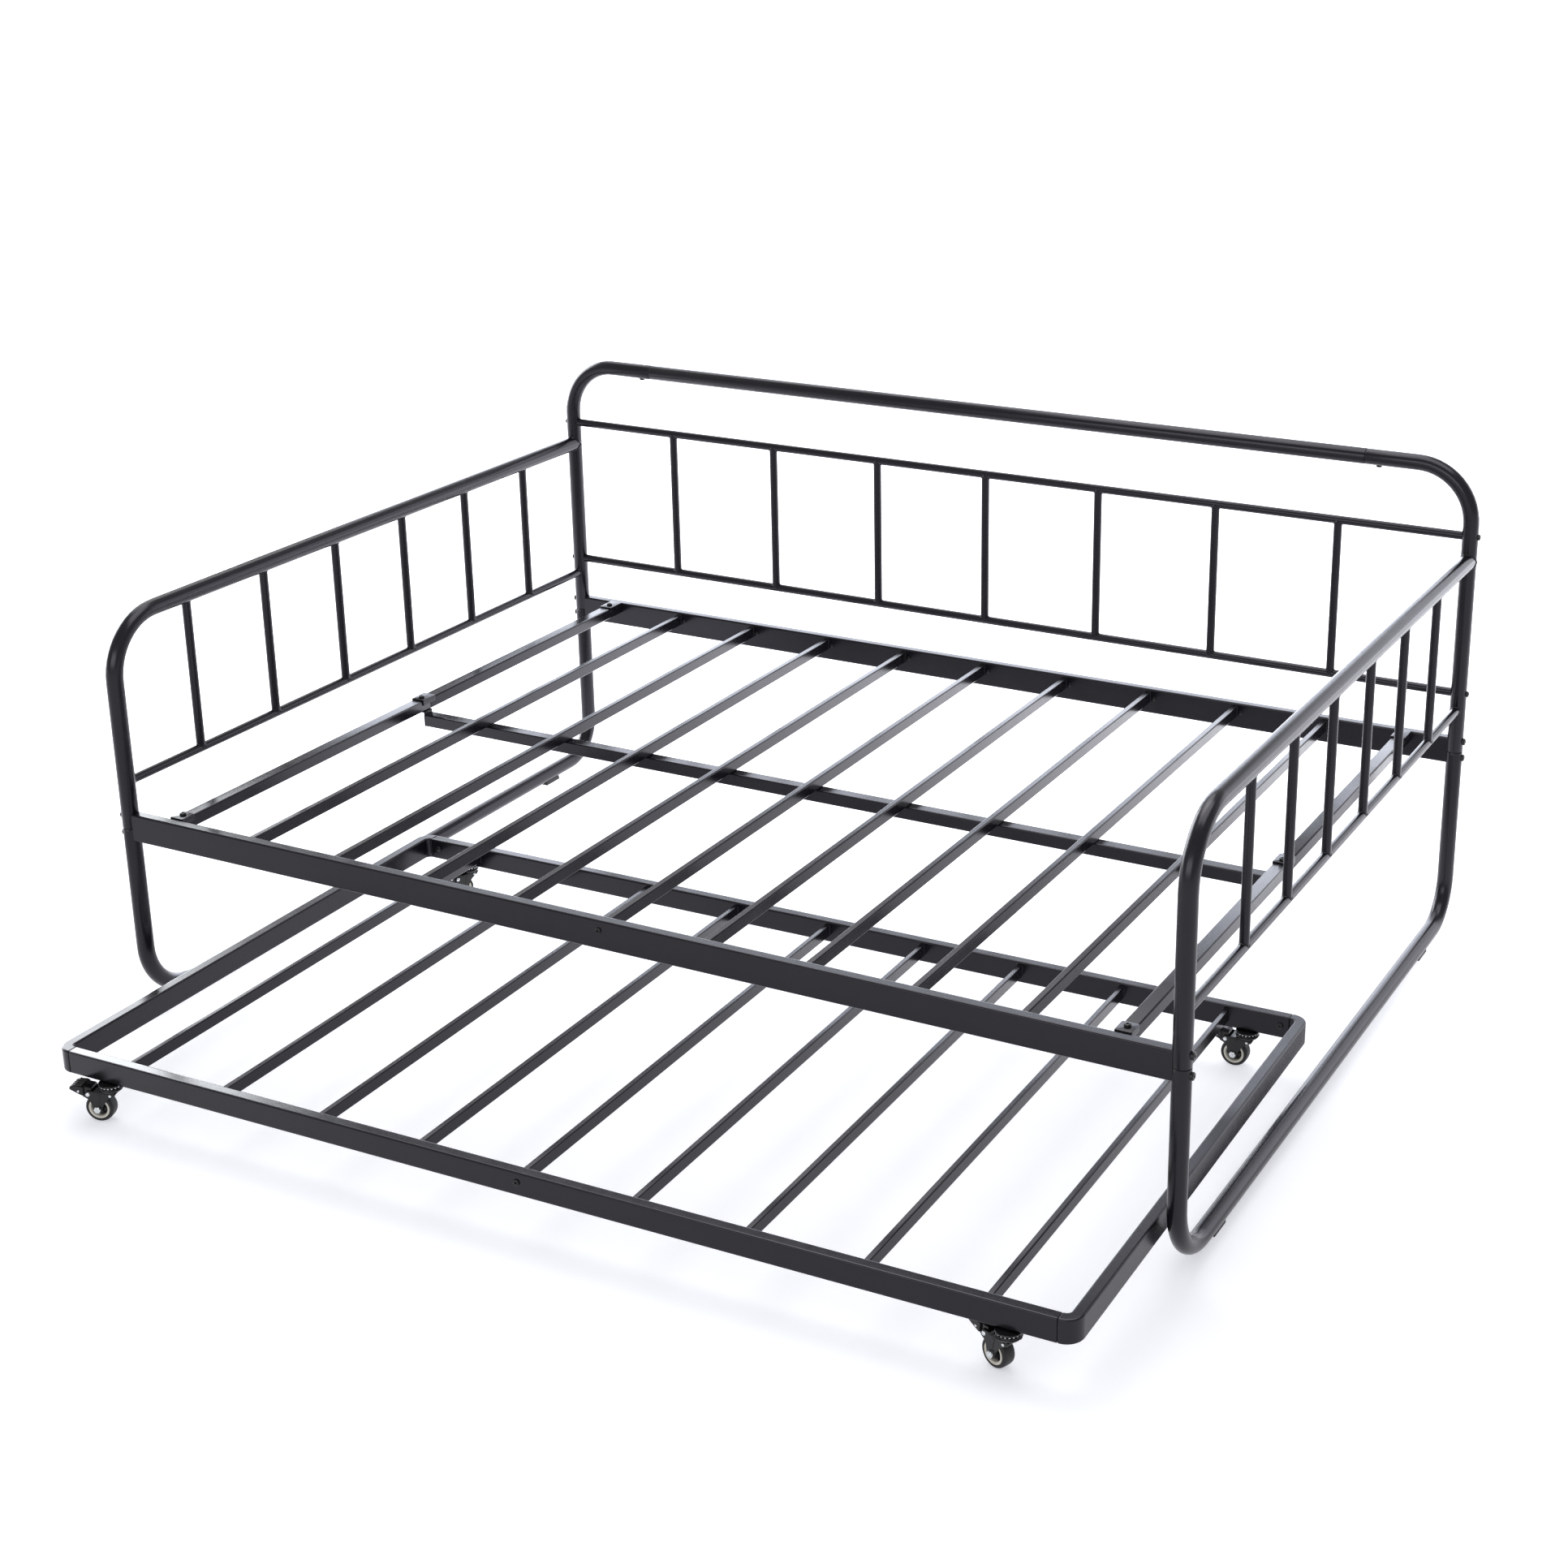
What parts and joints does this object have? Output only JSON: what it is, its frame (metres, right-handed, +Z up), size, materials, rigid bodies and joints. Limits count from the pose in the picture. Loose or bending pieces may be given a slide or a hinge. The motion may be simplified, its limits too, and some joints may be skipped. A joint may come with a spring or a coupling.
{
  "type": "trundle bed",
  "caption": "Tubular metal daybed with arm and back rails and a low slatted bed on casters that rolls out from under it.",
  "frame": {"origin": "on the floor, at the middle of the whole bed's box with the trundle drawn out as modelled", "axes": "+X along the bed's length to the right, +Y to the back, +Z up"},
  "size_m": [1.985, 1.7664, 0.915],
  "materials": {
    "frame": "satin charcoal-black powder coat on bent steel tube",
    "caster_metal": "gloss black pressed steel",
    "wheel": "black moulded wheel with a smooth tread",
    "glide": "black moulded plastic"
  },
  "bodies": {
    "daybed": {"left_leg_frame": "frame", "right_leg_frame": "frame", "left_arm_panel": "frame", "right_arm_panel": "frame", "back_top_rail": "frame", "back_ladder": "frame", "front_rail": "frame", "back_rail": "frame", "left_side_rail_front": "frame", "left_side_rail_back": "frame", "left_beam_hanger": "frame", "left_front_glide": "glide", "left_back_glide": "glide", "right_side_rail_front": "frame", "right_side_rail_back": "frame", "right_beam_hanger": "frame", "right_front_glide": "glide", "right_back_glide": "glide", "centre_beam": "frame", "slat_1": "frame", "slat_2": "frame", "slat_3": "frame", "slat_4": "frame", "slat_5": "frame", "slat_6": "frame", "slat_7": "frame", "slat_8": "frame", "slat_9": "frame"},
    "trundle": {"trundle_left_end": "frame", "trundle_right_end": "frame", "trundle_front_rail": "frame", "trundle_back_rail": "frame", "trundle_slat_1": "frame", "trundle_slat_2": "frame", "trundle_slat_3": "frame", "trundle_slat_4": "frame", "trundle_slat_5": "frame", "trundle_slat_6": "frame", "trundle_slat_7": "frame", "trundle_slat_8": "frame", "trundle_slat_9": "frame", "front_left_caster_mount": "caster_metal", "front_right_caster_mount": "caster_metal", "back_left_caster_mount": "caster_metal", "back_right_caster_mount": "caster_metal"},
    "front_left_fork": {"front_left_caster_fork": "caster_metal"},
    "front_left_wheel": {"front_left_caster_wheel": "wheel"},
    "front_left_pedal": {"front_left_caster_pedal": "caster_metal"},
    "front_right_fork": {"front_right_caster_fork": "caster_metal"},
    "front_right_wheel": {"front_right_caster_wheel": "wheel"},
    "front_right_pedal": {"front_right_caster_pedal": "caster_metal"},
    "back_left_fork": {"back_left_caster_fork": "caster_metal"},
    "back_left_wheel": {"back_left_caster_wheel": "wheel"},
    "back_left_pedal": {"back_left_caster_pedal": "caster_metal"},
    "back_right_fork": {"back_right_caster_fork": "caster_metal"},
    "back_right_wheel": {"back_right_caster_wheel": "wheel"},
    "back_right_pedal": {"back_right_caster_pedal": "caster_metal"}
  },
  "joints": [
    {"name": "trundle_slide", "type": "slide", "parent": "daybed", "child": "trundle", "axis": [0, -1, 0], "range_m": [-0.32, 0.75]},
    {"name": "front_left_swivel", "type": "hinge", "parent": "trundle", "child": "front_left_fork", "pos_m": [-0.75575, -0.84633, 0.06], "axis": [0, 0, 1], "continuous": true},
    {"name": "front_left_roll", "type": "hinge", "parent": "front_left_fork", "child": "front_left_wheel", "pos_m": [-0.7748, -0.85244, 0.024], "axis": [-0.3052, 0.9523, 0], "continuous": true},
    {"name": "front_left_brake", "type": "hinge", "parent": "front_left_fork", "child": "front_left_pedal", "pos_m": [-0.78909, -0.85701, 0.05], "axis": [0.3052, -0.9523, 0], "range_deg": [0, 16]},
    {"name": "front_right_swivel", "type": "hinge", "parent": "trundle", "child": "front_right_fork", "pos_m": [0.8531, -0.82471, 0.06], "axis": [0, 0, 1], "continuous": true},
    {"name": "front_right_roll", "type": "hinge", "parent": "front_right_fork", "child": "front_right_wheel", "pos_m": [0.83446, -0.81747, 0.024], "axis": [0.3621, 0.9321, 0], "continuous": true},
    {"name": "front_right_brake", "type": "hinge", "parent": "front_right_fork", "child": "front_right_pedal", "pos_m": [0.82047, -0.81204, 0.05], "axis": [-0.3621, -0.9321, 0], "range_deg": [0, 16]},
    {"name": "back_left_swivel", "type": "hinge", "parent": "trundle", "child": "back_left_fork", "pos_m": [-0.76899, 0.13858, 0.06], "axis": [0, 0, 1], "continuous": true},
    {"name": "back_left_roll", "type": "hinge", "parent": "back_left_fork", "child": "back_left_wheel", "pos_m": [-0.77492, 0.11948, 0.024], "axis": [-0.9551, 0.2962, 0], "continuous": true},
    {"name": "back_left_brake", "type": "hinge", "parent": "back_left_fork", "child": "back_left_pedal", "pos_m": [-0.77936, 0.10515, 0.05], "axis": [0.9551, -0.2962, 0], "range_deg": [0, 16]},
    {"name": "back_right_swivel", "type": "hinge", "parent": "trundle", "child": "back_right_fork", "pos_m": [0.83986, 0.1602, 0.06], "axis": [0, 0, 1], "continuous": true},
    {"name": "back_right_roll", "type": "hinge", "parent": "back_right_fork", "child": "back_right_wheel", "pos_m": [0.81986, 0.15993, 0.024], "axis": [-0.0134, 0.9999, 0], "continuous": true},
    {"name": "back_right_brake", "type": "hinge", "parent": "back_right_fork", "child": "back_right_pedal", "pos_m": [0.80487, 0.15973, 0.05], "axis": [0.0134, -0.9999, 0], "range_deg": [0, 16]}
  ]
}
